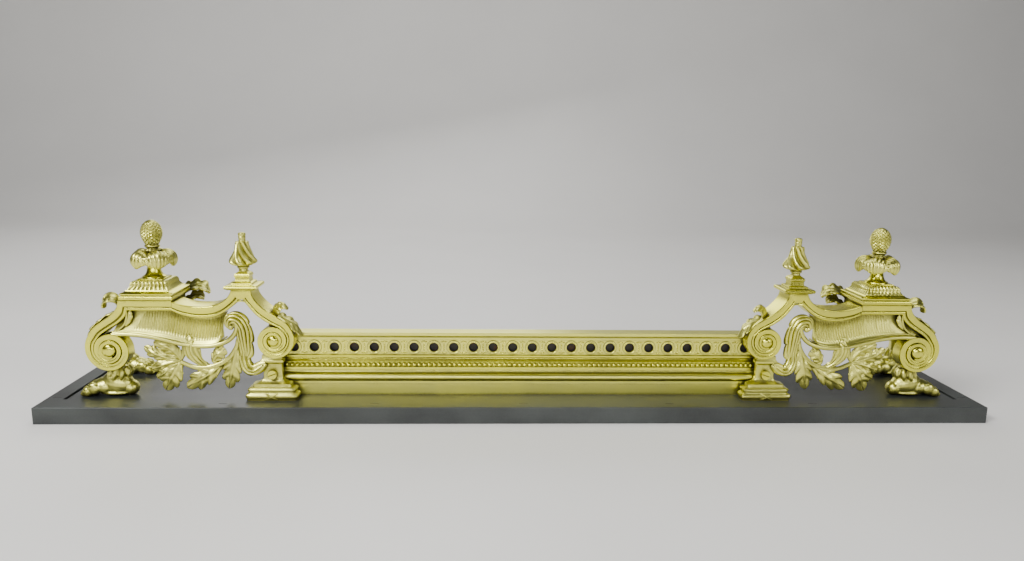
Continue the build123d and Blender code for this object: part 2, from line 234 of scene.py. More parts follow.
def lathe(name: str, x: float, y: float, profile: Sequence[Flat], around: int, length: int,
          form: Optional[Callable[[float, float, float], tuple[float, float]]] = None) -> Piece:
    """A closed turned piece, with an optional change of form round its axis.

    Args:
        name: the piece's name.
        x, y: the axis.
        profile: radius and height from the bottom up; it starts and ends on or near the axis.
        around: number of steps round the axis.
        length: number of steps along the profile.
        form: from the angle, the radius and the height, gives a new angle and radius.

    Returns:
        The closed object.
    """
    def place(u: float, v: float) -> Vector:
        """A place on the turned surface."""
        radius, z = along(profile, v)
        angle = TURN * u
        if form:
            angle, radius = form(angle, radius, z)
        return SPACE.at(x + radius * math.cos(angle), y + radius * math.sin(angle), z)

    return closed_sheet(name, around, length, place)


def square_spot(half: float, u: float) -> Flat:
    """A place on the outline of a square, a fraction u of the way round."""
    side, s = divmod(u * 4 % 4, 1)
    a = mix(-half, half, s)
    return ((a, -half), (half, a), (-a, half), (-half, -a))[int(side)]


def square_moulding(name: str, x: float, y: float, profile: Sequence[Flat]) -> Piece:
    """A closed square piece with the same moulding on its four sides.

    Args:
        name: the piece's name.
        x, y: the middle of the square.
        profile: half width and height from the bottom up.

    Returns:
        The closed object.
    """
    count = len(profile) - 1

    def place(u: float, v: float) -> Vector:
        """A place on the moulding's skin."""
        half, z = profile[round(v * count)]
        dx, dy = square_spot(half, u)
        return SPACE.at(x + dx, y + dy, z)

    return smooth_shade(closed_sheet(name, 32, count, place), 35)


def tube(name: str, points: Sequence[Point], radii: Sequence[float], around: int, length: int,
         flat: float = 1.0) -> Piece:
    """A stem with a varying radius along a smooth path, closed at both ends.

    Args:
        name: the piece's name.
        points: given places in millimetres.
        radii: two or more radii spread evenly over the length.
        around: steps round the stem.
        length: steps along it.
        flat: its depth from front to back as a share of its height.

    Returns:
        The closed object.
    """
    path = smooth_path(points, length)
    sizes = smooth_path([(r,) for r in radii], length)

    def place(u: float, v: float) -> Vector:
        """A place on the stem's skin."""
        i = round(v * length)
        here = Vector(path[i])
        ahead = (Vector(path[min(i + 1, length)]) - Vector(path[max(i - 1, 0)])).normalized()
        side = ahead.cross(Vector((0, 1, 0)))
        side = side.normalized() if side.length > 0.05 else Vector((1, 0, 0))
        depth = side.cross(ahead).normalized()
        angle = TURN * u
        r = sizes[i][0]
        spot = here + side * (r * math.cos(angle)) + depth * (r * flat * math.sin(angle))
        return SPACE.at(*spot)

    return closed_sheet(name, around, length, place)


def join(name: str, *parts: Piece) -> Piece:
    """Joins finished meshes into one piece."""
    pick(parts[0])
    for part in parts:
        part.select_set(True)
    bpy.ops.object.join()
    parts[0].name = name
    return parts[0]


def ball(x: float, y: float, z: float, rx: float, ry: float, rz: float, turn: float = 0) -> Piece:
    """An ellipsoid lump for modelling, turned in the front plane by degrees."""
    deselect()
    bpy.ops.mesh.primitive_uv_sphere_add(segments=20, ring_count=12, radius=1)
    obj = bpy.context.object
    spin = Matrix.Rotation(math.radians(-turn), 4, "Y")
    size = Matrix.Diagonal((rx * MM, ry * MM, rz * MM, 1))
    obj.data.transform(Matrix.Translation(SPACE.at(x, y, z)) @ spin @ size)
    return obj


def modelled(name: str, lumps: Sequence[Piece], voxel: float, rounds: int) -> Piece:
    """Runs overlapping lumps together into one skin, as a wax model is.

    Args:
        name: the piece's name.
        lumps: the overlapping closed meshes.
        voxel: remesh size in millimetres.
        rounds: smoothing rounds after it.

    Returns:
        The joined skin.
    """
    obj = join(name, *lumps)
    apply_modifier(obj, "REMESH", mode="VOXEL", voxel_size=voxel * MM)
    apply_modifier(obj, "SMOOTH", factor=0.5, iterations=rounds)
    return smooth_shade(obj, 180)


def copy_piece(obj: Piece, name: str, shift: Optional[float] = None) -> Piece:
    """A copy of a piece with its own mesh, mirrored to the other end or moved across.

    Args:
        obj: the first piece.
        name: the copy's name.
        shift: where given, the copy is moved that far in millimetres instead of mirrored.

    Returns:
        The copy.
    """
    twin = obj.copy()
    twin.data = obj.data.copy()
    twin.name = name
    bpy.context.scene.collection.objects.link(twin)
    if shift is not None:
        twin.data.transform(Matrix.Translation((shift * MM, 0, 0)))
        return twin
    twin.data.transform(Matrix.Diagonal((-1, 1, 1, 1)))
    edit_all(twin, lambda: bpy.ops.mesh.flip_normals())
    return twin


# ---------------------------------------------------------------- shader maths
class Wire:
    """A value in a node tree that takes part in Python expressions."""

    def __init__(self, tree: bpy.types.NodeTree, socket: bpy.types.NodeSocket) -> None:
        """Keeps the tree and the output socket."""
        self.tree = tree
        self.socket = socket

    def _math(self, operation: str, *others: "Wire | float", first: bool = True) -> "Wire":
        """Adds a Math node that combines this value with others."""
        node = self.tree.nodes.new("ShaderNodeMath")
        node.operation = operation
        values = [self, *others] if first else [*others, self]
        for socket, value in zip(node.inputs, values):
            if isinstance(value, Wire):
                self.tree.links.new(value.socket, socket)
            else:
                socket.default_value = value
        return Wire(self.tree, node.outputs[0])

    def __add__(self, other: "Wire | float") -> "Wire":
        """The sum."""
        return self._math("ADD", other)

    __radd__ = __add__

    def __sub__(self, other: "Wire | float") -> "Wire":
        """The difference."""
        return self._math("SUBTRACT", other)

    def __rsub__(self, other: float) -> "Wire":
        """A number less this value."""
        return self._math("SUBTRACT", other, first=False)

    def __mul__(self, other: "Wire | float") -> "Wire":
        """The product."""
        return self._math("MULTIPLY", other)

    __rmul__ = __mul__

    def clamp(self) -> "Wire":
        """The value held between 0 and 1."""
        return self._math("MAXIMUM", 0.0)._math("MINIMUM", 1.0)

    def band(self, low: float, high: float) -> "Wire":
        """A smooth step from 0 at low to 1 at high."""
        return ((self - low) * (1 / (high - low))).clamp()


class Shading:
    """Builds one material's node tree."""

    def __init__(self, name: str) -> None:
        """Starts a material with one Principled shader."""
        self.material = bpy.data.materials.new(name)
        self.material.use_nodes = True
        self.tree = self.material.node_tree
        self.tree.nodes.clear()
        output = self.tree.nodes.new("ShaderNodeOutputMaterial")
        self.shader = self.tree.nodes.new("ShaderNodeBsdfPrincipled")
        self.tree.links.new(self.shader.outputs[0], output.inputs["Surface"])

    def node(self, kind: str, output: str | int = 0, settings: Optional[dict[str, object]] = None,
             **inputs: object) -> Wire:
        """Adds a node with its settings first and then its inputs.

        Args:
            kind: the node type without its ShaderNode prefix.
            output: the output wanted.
            settings: the node's own settings.
            inputs: values or wires by socket name, with underscores for spaces.

        Returns:
            The chosen output.
        """
        node = self.tree.nodes.new("ShaderNode" + kind)
        for key, value in (settings or {}).items():
            setattr(node, key, value)
        for key, value in inputs.items():
            self.supply(node.inputs[key.replace("_", " ")], value)
        return Wire(self.tree, node.outputs[output])

    def supply(self, socket: bpy.types.NodeSocket, value: object) -> None:
        """Links a wire to a socket, or sets the socket's value."""
        if isinstance(value, Wire):
            self.tree.links.new(value.socket, socket)
        else:
            socket.default_value = value

    def colour_mix(self, share: Wire, low: Wire | Point, high: Wire | Point) -> Wire:
        """Mixes two colours by a share."""
        node = self.tree.nodes.new("ShaderNodeMix")
        node.data_type = "RGBA"
        self.supply(node.inputs[0], share)
        for socket, colour in ((node.inputs[6], low), (node.inputs[7], high)):
            self.supply(socket, colour if isinstance(colour, Wire) else (*colour, 1))
        return Wire(self.tree, node.outputs[2])

    def noise(self, scale: float, detail: float, roughness: float = 0.55,
              vector: Optional[Wire] = None) -> Wire:
        """A noise value on object coordinates, with its scale in cycles per metre."""
        place = vector or self.node("TexCoord", "Object")
        return self.node("TexNoise", 0, Vector=place, Scale=scale, Detail=detail, Roughness=roughness)

    def stretched(self, x: float, y: float, z: float) -> Wire:
        """Object coordinates stretched for a pattern with a direction."""
        return self.node("Mapping", 0, Vector=self.node("TexCoord", "Object"), Scale=(x, y, z))

    def hollow(self, distance: float) -> Wire:
        """How closed in a point is, from 0 in the open to 1 in a deep recess."""
        return 1.0 - self.node("AmbientOcclusion", 1, {"samples": 6}, Distance=distance)

    def bump(self, height: Wire, strength: float, distance: float) -> Wire:
        """A normal from a height."""
        return self.node("Bump", 0, Height=height, Strength=strength, Distance=distance)

    def feed(self, **inputs: object) -> bpy.types.Material:
        """Feeds the shader's own sockets and returns the finished material."""
        for key, value in inputs.items():
            self.supply(self.shader.inputs[key.replace("_", " ")], value)
        return self.material


@dataclass(frozen=True)
class Brass:
    """Cast brass, rubbed bright on what stands proud; its recesses take a tarnish colour that is partly real
    and partly painted shade, and the deepest ones are painted near black as shade.
    """

    name: str
    bright: Point = (0.88, 0.845, 0.085)
    rubbed: Point = (0.72, 0.695, 0.11)
    # tarnish colour of the recesses, partly real tarnish and partly painted shade
    patina: Point = (0.145, 0.13, 0.024)
    # near-black painted shade for the deepest recesses
    deep_shade: Point = (0.022, 0.016, 0.006)
    roughness: float = 0.24
    grain: float = 0.25
    recess: float = 0.018
    lines: bool = False

    def build(self) -> bpy.types.Material:
        """Builds the material."""
        s = Shading(self.name)
        cloud = s.noise(14, 5)
        fine = s.noise(420, 3)
        speck = s.noise(1500, 2)
        hollow = s.hollow(self.recess)
        tone = s.colour_mix(cloud.band(0.35, 0.68), self.bright, self.rubbed)
        # Partly real tarnish, partly painted shade: recesses found by ambient occlusion are painted in the
        # tarnish colour and made rougher.
        tarnish_and_shade = (hollow * 1.25 + (cloud - 0.5) * 0.5 + (fine - 0.5) * 0.35).band(0.18, 0.72)
        tone = s.colour_mix(tarnish_and_shade, tone, self.patina)
        # Painted shade: the deepest recesses, found by ambient occlusion, are painted near black.
        deep = (hollow + (fine - 0.5) * 0.25).band(0.72, 1.0)
        tone = s.colour_mix(deep, tone, self.deep_shade)
        rough = self.roughness + tarnish_and_shade * 0.22 + (fine - 0.5) * 0.10 + (cloud - 0.5) * 0.08
        relief = fine * 0.6 + speck * 0.4
        if self.lines:
            brushed = s.noise(60, 3, vector=s.stretched(0.35, 8, 8))
            relief = relief + brushed * 0.5
            rough = rough + (brushed - 0.5) * 0.12
        return s.feed(Base_Color=tone, Metallic=1.0, Roughness=rough.clamp(),
                      Normal=s.bump(relief, self.grain, 0.0004))


@dataclass(frozen=True)
class BlackSteel:
    """Steel under satin black paint, a little dusty."""

    name: str
    paint: Point = (0.016, 0.019, 0.019)
    dust: Point = (0.075, 0.085, 0.078)
    roughness: float = 0.34

    def build(self) -> bpy.types.Material:
        """Builds the material."""
        s = Shading(self.name)
        cloud = s.noise(9, 6, 0.6)
        streak = s.noise(16, 4, vector=s.stretched(0.25, 2.2, 1))
        fine = s.noise(700, 3)
        dusty = (cloud * 0.6 + streak * 0.6 + fine * 0.25).band(0.62, 1.1)
        tone = s.colour_mix(dusty, self.paint, self.dust)
        rough = self.roughness + dusty * 0.25 + (fine - 0.5) * 0.08
        return s.feed(Base_Color=tone, Metallic=0.0, Roughness=rough.clamp(), IOR=1.5,
                      Coat_Weight=0.15, Coat_Roughness=0.3,
                      Normal=s.bump(fine + streak * 0.3, 0.12, 0.0004))


@dataclass(frozen=True)
class RawIron:
    """Blackened iron out of sight at the back."""

    name: str
    iron: Point = (0.05, 0.045, 0.04)
    rust: Point = (0.16, 0.07, 0.03)

    def build(self) -> bpy.types.Material:
        """Builds the material."""
        s = Shading(self.name)
        cloud = s.noise(40, 6, 0.65)
        fine = s.noise(600, 3)
        tone = s.colour_mix(cloud.band(0.55, 0.75), self.iron, self.rust)
        return s.feed(Base_Color=tone, Metallic=0.4, Roughness=(0.55 + (cloud - 0.5) * 0.4).clamp(),
                      Normal=s.bump(fine + cloud * 0.6, 0.3, 0.0006))


class Finishes:
    """Every finish of the fender, by the record's slot."""

    def __init__(self) -> None:
        """Builds the materials once."""
        self.by_slot = {
            "polished_brass": Brass("polished_brass").build(),
            "cast_brass": Brass("cast_brass", bright=(0.84, 0.815, 0.18), rubbed=(0.66, 0.64, 0.15),
                                roughness=0.31, grain=0.4, recess=0.015).build(),
            "black_kerb": BlackSteel("black_kerb").build(),
            "black_screw": BlackSteel("black_screw", paint=(0.02, 0.022, 0.022)).build(),
            "raw_iron": RawIron("raw_iron").build(),
        }
        # Lighter copy of the brass for the rail: its lighter colours are partly a painted highlight for the
        # light on the rail's front, with brushed lines, a rougher finish and less painted shade in recesses.
        self.rail = Brass("rail_brass", bright=(0.90, 0.865, 0.15), rubbed=(0.80, 0.775, 0.18),
                          roughness=0.32, recess=0.006, lines=True).build()

    def dress(self, obj: Piece, slot: str, material: Optional[bpy.types.Material] = None) -> None:
        """Gives a piece or node the finish of its slot, or one of its own."""
        obj.data.materials.clear()
        obj.data.materials.append(material or self.by_slot[slot])


@dataclass
class Fitter:
    """Finishes new pieces: finish, slot, body and the nodes they stand for."""

    finishes: Finishes

    def fit(self, piece: Piece, slot: str, *nodes: str) -> None:
        """Dresses a piece, rides it on the fender and hides the nodes that it stands for."""
        self.finishes.dress(piece, slot)
        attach(piece, "root")
        if nodes:
            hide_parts(*nodes)
        log.info("%s: %d faces", piece.name, len(piece.data.polygons))

    def pair(self, piece: Piece, slot: str, *nodes: str, shift: Optional[float] = None) -> None:
        """Fits a right-hand piece and its twin at the left end.

        Args:
            piece: the right-hand piece, named without its side.
            slot: the finish.
            nodes: the node names without their side.
            shift: set for a piece that is cast alike for both ends, as in copy_piece.
        """
        base = piece.name
        piece.name = f"{Side.RIGHT.word}_{base}_cast"
        twin = copy_piece(piece, f"{Side.LEFT.word}_{base}_cast", shift)
        for obj, side in ((piece, Side.RIGHT), (twin, Side.LEFT)):
            self.fit(obj, slot, *[f"{side.word}_{node}" for node in nodes])


# ---------------------------------------------------------------- ribbons and volutes
def lathe_along_y(name: str, x: float, z: float, y: float, profile: Sequence[Flat]) -> Piece:
    """A closed piece turned about an axis that runs from front to back.

    Args:
        name: the piece's name.
        x, z: the axis.
        y: the depth that the profile's heights are measured from.
        profile: radius and depth, from the front to the back.

    Returns:
        The closed object.
    """
    count = len(profile) - 1

    def place(u: float, v: float) -> Vector:
        """A place on the turned surface."""
        radius, depth = profile[round(v * count)]
        angle = TURN * u
        return SPACE.at(x + radius * math.cos(angle), y + depth, z + radius * math.sin(angle))

    return closed_sheet(name, 28, count, place)


@dataclass(frozen=True)
class Volute:
    """A spiral that winds into its eye, clockwise seen from the front unless winding is 1."""

    x: float
    z: float
    radius: float
    start: float
    turns: float
    shrink: float = 0.625
    winding: int = -1

    def edge(self, t: float, inner: bool) -> Flat:
        """The ribbon's outer or inner edge a fraction t of the way in."""
        angle = math.radians(self.start) + self.winding * TURN * self.turns * t
        grow = self.turns * t + (1 if inner else 0)
        radius = self.radius * self.shrink ** grow
        return self.x + radius * math.cos(angle), self.z + radius * math.sin(angle)

    def eye(self, name: str, front: float) -> Piece:
        """The domed button at the spiral's heart, which covers the ribbon's end."""
        r = 0.84 * self.radius * self.shrink ** self.turns
        dome = [(0, -5.2), (r * 0.4, -4.9), (r * 0.72, -4.0), (r * 0.93, -2.4), (r, 0), (r, 4), (0, 4)]
        return lathe_along_y(name, self.x, self.z, front, dome)


# A ribbon's cross-section: share of the width and depth behind the face.
MOULDED_FACE = ((0.0, 2.4), (0.02, 0.8), (0.06, 0.1), (0.12, 0.0), (0.56, 0.0), (0.60, 0.4), (0.63, 2.4),
                (0.68, 2.6), (0.71, 1.2), (0.76, 0.8), (0.90, 0.8), (0.96, 1.5), (1.0, 3.4))
GROOVE_FROM = 0.58
FILLET_FROM = 0.93


def ribbon(name: str, outer: Sequence[Flat], inner: Sequence[Flat], front: Callable[[float], float],
           back: Callable[[float], float], groove: Callable[[float], float] = lambda t: 1.0) -> Piece:
    """A moulded strip between two edges seen from the front, closed all round.

    Args:
        name: the piece's name.
        outer, inner: edge points, alike in number.
        front: the face's depth along the strip.
        back: the back's depth along the strip.
        groove: how deep the groove beside the inner fillet is along the strip, from 0 to 1.

    Returns:
        The closed strip.
    """
    ring = [(0.0, None), *MOULDED_FACE, (1.0, None)]
    count = len(ring)
    length = len(outer) - 1

    def place(u: float, v: float) -> Vector:
        """A place on the strip's skin."""
        i = round(v * length)
        share, depth = ring[round(u * count) % count]
        t = i / length
        if depth is not None and share > GROOVE_FROM:
            depth = mix(0.2 if share < FILLET_FROM else 0.5 * depth, depth, groove(t))
        y = back(t) if depth is None else min(front(t) + depth, back(t))
        x, z = (mix(a, b, share) for a, b in zip(outer[i], inner[i]))
        return SPACE.at(x, y, z)

    return closed_sheet(name, count, length, place)


@dataclass(frozen=True)
class Scroll:
    """A console's neck and volute: one moulded ribbon over a drum, with a button at its eye."""

    volute: Volute
    neck_outer: tuple[Flat, ...]
    neck_inner: tuple[Flat, ...]
    spans: int
    rise: float
    deep_until: float
    shallow_run: float
    shallow_back: float
    groove_until: float
    drum_back: float
    front: float = 33
    neck_back: float = 71
    neck_spans: int = 30

    def parts(self) -> list[Piece]:
        """Models the ribbon, the drum and the button, not yet joined.

        Returns:
            The ribbon, whose face rises a little towards the eye, the drum and the button.
        """
        neck = self.neck_spans / (self.neck_spans + self.spans)
        x, z = self.volute.x, self.volute.z
        reach = self.volute.radius * self.volute.shrink
        edges = []
        for path, inner in ((self.neck_outer, False), (self.neck_inner, True)):
            edge = smooth_path([*path, self.volute.edge(0, inner)], self.neck_spans)[:-1]
            edges.append(edge + [self.volute.edge(i / self.spans, inner) for i in range(self.spans + 1)])

        def back(t: float) -> float:
            """Full depth down the neck, and shallow within."""
            return mix(self.neck_back, self.shallow_back, ease((t - self.deep_until) / self.shallow_run))

        strip = ribbon("strip", edges[0], edges[1],
                       lambda t: self.front - self.rise * ease((t - neck * 1.8) / 0.7), back,
                       lambda t: 1 - ease((t - self.groove_until) / 0.2))
        circle = [(x + reach * math.cos(TURN * i / 48), z + reach * math.sin(TURN * i / 48)) for i in range(48)]
        drum = outline_plate("drum", circle, self.front + 4, self.drum_back)
        return [strip, drum, self.volute.eye("eye", self.front)]


# ---------------------------------------------------------------- leaves
@dataclass(frozen=True)
class Leaf:
    """An acanthus leaf: lobed, veined and curled along a spine."""

    spine: tuple[Point, ...]
    width: float
    lobes: float = 4
    sweep: float = 0.16
    cup: float = -2.5
    relief: float = 1.3
    thickness: float = 2.4
    side_axis: Optional[Point] = None
    root: float = 0.35
    tip: float = 0.25
    ribs: int = 0
    notch: float = 0.55

    def build(self, name: str, across: int = 20, length: int = 44) -> Piece:
        """Models the leaf as a formed sheet with thickness."""
        path = [Vector(p) for p in smooth_path(self.spine, length)]
        facing = Vector((0, -1, 0))

        def frame_at(t: float) -> tuple[Vector, Vector, Vector]:
            """Spine point, sideways direction and face direction at a fraction of the length."""
            s = min(max(t, 0.0), 1.0) * length
            i = min(int(s), length - 1)
            ahead = path[i + 1] - path[i]
            here = path[i] + ahead * (s - i)
            if t > 1:
                here = here + ahead * (t - 1) * length
            side = Vector(self.side_axis).normalized() if self.side_axis else ahead.cross(facing).normalized()
            return here, side, side.cross(ahead).normalized()

        def place(u: float, v: float) -> Vector:
            """A place on the leaf's face."""
            w = 2 * u - 1
            reach = abs(w)
            taper = mix(self.root, 1.0, ease(v / 0.35)) * mix(1.0, self.tip, ease((v - 0.62) / 0.38))
            phase = self.lobes * v
            notch = abs(math.sin(math.pi * phase)) ** 0.55
            lobed = mix(self.notch, 1.0, notch) if v < 0.97 else self.notch
            point = max(0.02, 1 - max(0.0, (v - 0.86) / 0.14) ** 2)
            half = self.width / 2 * taper * point
            spread = w * half * (1 - (1 - lobed) * reach ** 2.5)
            lift = reach ** 1.5 * self.sweep * (0.4 + 0.6 * notch)
            here, side, face = frame_at(v + lift)
            ridge = math.exp(-((w / 0.13) ** 2)) * 1.1
            vein = math.cos(TURN * (phase - 0.5)) * 0.5 * min(1, reach * 2.2) * (1 - 0.3 * reach)
            if self.ribs:
                vein = math.cos(math.pi * self.ribs * w) * 0.8
            height = self.relief * (ridge + vein) * min(1, 3 * (1 - v) + 0.15)
            height += self.cup * reach ** 2 * (half / self.width * 2)
            return SPACE.at(*(here + side * spread + face * height))

        obj = grid_sheet(name, across, length, place)
        tidy_normals(obj)
        apply_modifier(obj, "SOLIDIFY", thickness=self.thickness * MM, offset=0.0)
        apply_modifier(obj, "SUBSURF", levels=1, render_levels=1)
        return smooth_shade(obj, 60)


# ---------------------------------------------------------------- end units
@dataclass
class OuterConsole:
    """The S-shaped console at the outer end, with its large volute."""

    fitter: Fitter
    scroll: Scroll = Scroll(
        volute=Volute(601, 75, 36, 30, 2.4),
        neck_outer=((584, 150), (586.5, 139), (596, 128), (610, 118), (623, 107.5)),
        neck_inner=((572, 134), (575, 126), (584, 116.5), (597, 108), (611, 98.5)),
        spans=130, rise=2.5, deep_until=0.15, shallow_run=0.05, shallow_back=53, groove_until=0.13125,
        drum_back=52)

    def build(self) -> None:
        """Models the console and its leaf."""
        scroll = smooth_shade(join("outer_console", *self.scroll.parts()), 40)
        self.fitter.pair(scroll, "polished_brass", "outer_console")
        self.fitter.pair(self.leaf(), "cast_brass", "outer_leaf")

    def leaf(self) -> Piece:
        """The leaf that lies on the console's shoulder and curls outwards at its top."""
        curl = Leaf(((588, 52, 116), (588, 52, 127), (590, 51, 137), (595, 50, 145), (601, 48, 147.5),
                     (607, 47, 144), (606.5, 46, 138.5)), 32, lobes=2.5, sweep=0.05, cup=-5, thickness=3,
                    side_axis=(0.35, 1, 0.25), tip=0.8, root=0.8).build("curl")
        fall = Leaf(((590, 50, 131), (600, 50, 126.5), (613, 50, 117), (624, 50, 107), (633, 50, 95)),
                    30, lobes=4, side_axis=(0, 1, 0), cup=-2, thickness=3, root=0.6).build("fall")
        return join("outer_leaf", curl, fall)


@dataclass
class InnerConsole:
    """The S-shaped console beside the rail, with its small volute and its leaves."""

    fitter: Fitter
    scroll: Scroll = Scroll(
        volute=Volute(366, 90, 31, 150, 2.4, winding=1),
        neck_outer=((395, 166), (393.5, 157), (387, 146.5), (375, 135), (360, 125.5), (346, 116)),
        neck_inner=((409.5, 166), (409.5, 154), (402, 143), (391, 129), (376, 117.5), (359, 109)),
        spans=120, rise=2, deep_until=0.10, shallow_run=0.04, shallow_back=52, groove_until=0.16,
        drum_back=51.5)

    def build(self) -> None:
        """Models the console and its two leaves."""
        self.fitter.pair(self.console(), "polished_brass", "inner_console")
        self.fitter.pair(self.edge_leaf(), "cast_brass", "console_leaf")
        self.fitter.pair(self.window_leaf(), "cast_brass", "window_leaf")

    def console(self) -> Piece:
        """The scroll, with the block and the fillet at the top of its neck."""
        wedge = ((396, 165.8), (423, 165.8), (420, 158), (414.5, 151.5), (405.5, 151.5), (399, 158))
        block = outline_plate("block", wedge, self.scroll.front - 0.3, 68, 0.8)
        bow = ((403.5, 34.2, 148.6), (409.8, 33.6, 149.6), (416, 34.2, 148.6))
        fillet = tube("fillet", bow, (1.3, 1.3), 8, 10)
        return smooth_shade(join("inner_console", *self.scroll.parts(), block, fillet), 40)

    def edge_leaf(self) -> Piece:
        """The leaf on the console's rail side, curled over at its top."""
        curl = Leaf(((374, 47, 108), (369, 46, 121), (366, 45, 133), (360, 43, 142), (352, 42, 144),
                     (346, 42, 139)), 26, lobes=3.5, sweep=0.06, cup=-4, side_axis=(0.55, 1, 0.25),
                    root=0.9, tip=0.8).build("curl")
        fall = Leaf(((374, 46, 124), (361, 46, 123), (347, 45, 118), (335, 45, 110), (328, 46, 99)),
                    28, lobes=4.5, sweep=0.1, cup=-2, side_axis=(0.35, 1, 0.8), root=0.6,
                    tip=0.6).build("fall")
        return join("console_leaf", curl, fall)

    def window_leaf(self) -> Piece:
        """The leaf that rolls over in the window and falls beside the volute."""
        roll = Leaf(((426, 36, 109.5), (430.5, 35, 113.5), (428, 34, 121), (418, 34, 121), (410, 34, 110),
                     (408, 35, 95), (407.5, 37, 80), (407, 39, 66)), 25, lobes=4, sweep=0.12, cup=-4.5,
                    relief=1.7, root=0.32, tip=0.72, ribs=5, notch=0.74).build("roll", 28, 64)
        fall = Leaf(((411, 42, 84), (411, 40, 70), (410, 38, 57), (405, 36, 47), (396, 36, 44.5),
                     (384, 37, 52)), 20, lobes=3, cup=-4.5, relief=1.5, root=0.5, tip=0.5, ribs=3,
                    notch=0.7).build("fall", 22, 40)
        eye = ball(427, 36, 110, 4.4, 4, 4.4)
        return smooth_shade(join("window_leaf", roll, fall, eye), 60)


@dataclass
class FriezeBody:
    """The body between the consoles: polished band, fluted hollow and lower moulding."""

    fitter: Fitter
    front: float = 33
    back: float = 72
    sag_end: float = 508.4
    flute_pitch: float = 3.9
    flute_depth: float = 1.9
    sag_top: tuple[Flat, ...] = (
        (508, 148), (497, 144), (483, 141.3), (467, 140.5), (451, 142.3), (439, 147), (430, 154),
        (425.5, 161), (424, 166))
    sag_low: tuple[Flat, ...] = (
        (508, 133), (496, 128), (481, 124.2), (466, 122.8), (450, 124.8), (437, 130.5), (425, 139.5),
        (413, 151), (409.5, 166))
    hollow_top: tuple[Flat, ...] = (
        (433, 132), (444, 126.5), (457, 123), (469, 122.4), (482, 124), (496, 127.6), (508, 132.6),
        (514, 134.4), (530, 134.6), (550, 134.6), (580, 134.6))
    hollow_low: tuple[Flat, ...] = (
        (437, 95), (446, 88), (458, 84.5), (470, 84), (484, 85), (498, 88), (512, 91.5), (530, 95.5),
        (550, 98.5), (572, 100), (596, 100))
    roll: tuple[Point, ...] = (
        (597, 97.5, 37), (578, 98.5, 37), (556, 97, 37), (535, 93.5, 37), (515, 88.5, 37), (497, 84, 37),
        (478, 81.3, 37), (460, 81.3, 37), (443, 84.5, 37), (430, 91, 37), (421.5, 101, 37), (418.5, 111, 37),
        (422, 119, 37), (429, 120, 37), (433, 115, 36.5), (430, 110.5, 36), (426.5, 112.5, 35.5))

    def build(self) -> None:
        """Models the body."""
        self.fitter.pair(self.bands(), "polished_brass", "frieze_body")
        self.fitter.pair(self.hollow(), "cast_brass")
        self.fitter.pair(self.lower_roll(), "cast_brass")

    def bands(self) -> Piece:
        """The straight and the sagging band, the core behind them and the seat of the plinth."""
        sag = ribbon("sag", smooth_path(self.sag_top, 60), smooth_path(self.sag_low, 60),
                     lambda t: self.front, lambda t: self.back - 1)
        top = [(self.sag_end + 75.6 * i / 8, 150) for i in range(9)]
        low = [(self.sag_end + 63.6 * i / 8, 133.8) for i in range(9)]
        straight = ribbon("straight", top, low, lambda t: self.front, lambda t: self.back)
        core = outline_plate("core", self.core_outline(), self.front + 19, self.back - 0.5, 0.8)
        square = ((513, 101), (577, 101), (577, 149.6), (513, 149.6))
        seat = outline_plate("seat", square, self.back - 2, 103, 1.5)
        return smooth_shade(join("frieze_body", sag, straight, core, seat), 40)

    def core_outline(self) -> list[Flat]:
        """The outline of the casting behind the ornaments."""
        top = [(x, z - 0.8) for x, z in smooth_path(self.sag_top, 24)]
        low = [(x, z + 1) for x, z, _ in smooth_path(self.roll[:8], 40)]
        return [(582, 149), *top[1:], (411, 165), (412, 156), (430, 142), (449, 131), *reversed(low)]

    def hollow(self) -> Piece:
        """The fluted cove between the band and the lower moulding."""
        top = smooth_path(self.hollow_top, 300)
        low = smooth_path(self.hollow_low, 300)

        def place(u: float, v: float) -> Vector:
            """A place on the fluted cove."""
            x0, z0 = along(top, u)
            x1, z1 = along(low, u)
            z = mix(z0, z1, v)
            x = mix(x0, x1, v) + 4.5 * math.sin(math.pi * v) * (1 - ease(u / 0.08))
            cove = 46.5 - 10.5 * (1 - math.cos(v * math.pi / 2)) - 1.2 * ease((v - 0.93) / 0.04)
            fluted = ease((u - 0.025) / 0.02) * ease((0.90 - u) / 0.02)
            fluted *= ease((v - 0.03) / 0.1) * ease((0.86 - v) / 0.07)
            ridge = abs(math.sin(math.pi * (x + 0.12 * (z - 110)) / self.flute_pitch))
            return SPACE.at(x, cove + self.flute_depth * (ridge - 0.4) * fluted, z)

        sheet = grid_sheet("frieze_hollow", 330, 26, place)
        edit_all(sheet, lambda: bpy.ops.mesh.extrude_region_move(
            TRANSFORM_OT_translate={"value": (0, 3 * MM, 0)}))
        tidy_normals(sheet)
        return smooth_shade(sheet, 60)

    def lower_roll(self) -> Piece:
        """The lower moulding, which ends in a curl, with the thin bead above it."""
        roll = tube("lower_moulding", [(x, y, z) for x, z, y in self.roll],
                    (3.4, 3.6, 3.6, 3.6, 3.5, 3.2, 2.6), 14, 120, 1.15)
        bead = tube("bead", [(x + (0 if x > 440 else 3), 37.5, z + 4.7) for x, z, _ in self.roll[:10]],
                    (1.2, 1.2), 8, 80)
        drop = ((574, 37, 133), (574.5, 37, 124), (578, 37, 114), (586, 37, 106), (596, 37.5, 101))
        end = tube("end", drop, (1.6, 1.6), 8, 24)
        corner = Leaf(((578, 39, 110), (574, 38, 118), (571.5, 38, 125), (571, 39, 132)), 10, lobes=3,
                      relief=0.8, thickness=2, root=0.6).build("corner", 12, 24)
        return smooth_shade(join("lower_moulding", roll, bead, end, corner), 60)


SPRIG = {"sweep": 0.2, "root": 0.7, "tip": 0.7, "relief": 1.7}
FROND = {"lobes": 3.5, "sweep": 0.24, "tip": 0.62, "relief": 1.9}


